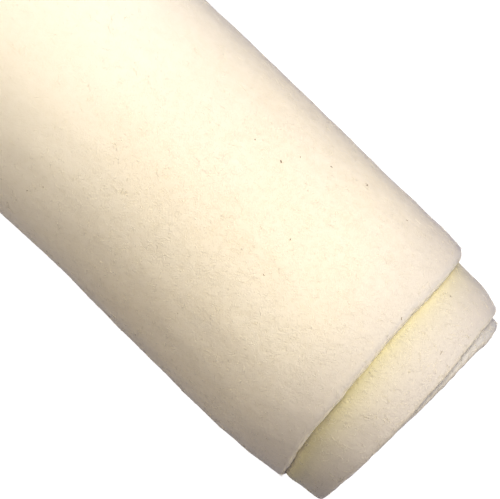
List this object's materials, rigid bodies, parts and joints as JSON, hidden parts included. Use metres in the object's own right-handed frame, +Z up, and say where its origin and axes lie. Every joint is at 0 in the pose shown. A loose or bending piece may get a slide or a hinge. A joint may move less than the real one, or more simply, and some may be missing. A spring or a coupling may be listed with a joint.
{
  "type": "roll of felt",
  "caption": "Loosely wound roll of thick cream wool felt lying on its side, its turns slipped along the roll so that the outer wrap stands back at one end.",
  "frame": {"origin": "on the surface that the roll lies on, under the middle of its bounding box", "axes": "+X along the roll, towards the end where the inner turns stick out; +Z up; +Y to the side under which the free tail ends"},
  "size_m": [0.3206, 0.0755, 0.0718],
  "materials": {
    "felt": "matt, fuzzy, uncombed wool felt in natural white"
  },
  "bodies": {
    "root": {"felt_roll": "felt"}
  },
  "joints": []
}
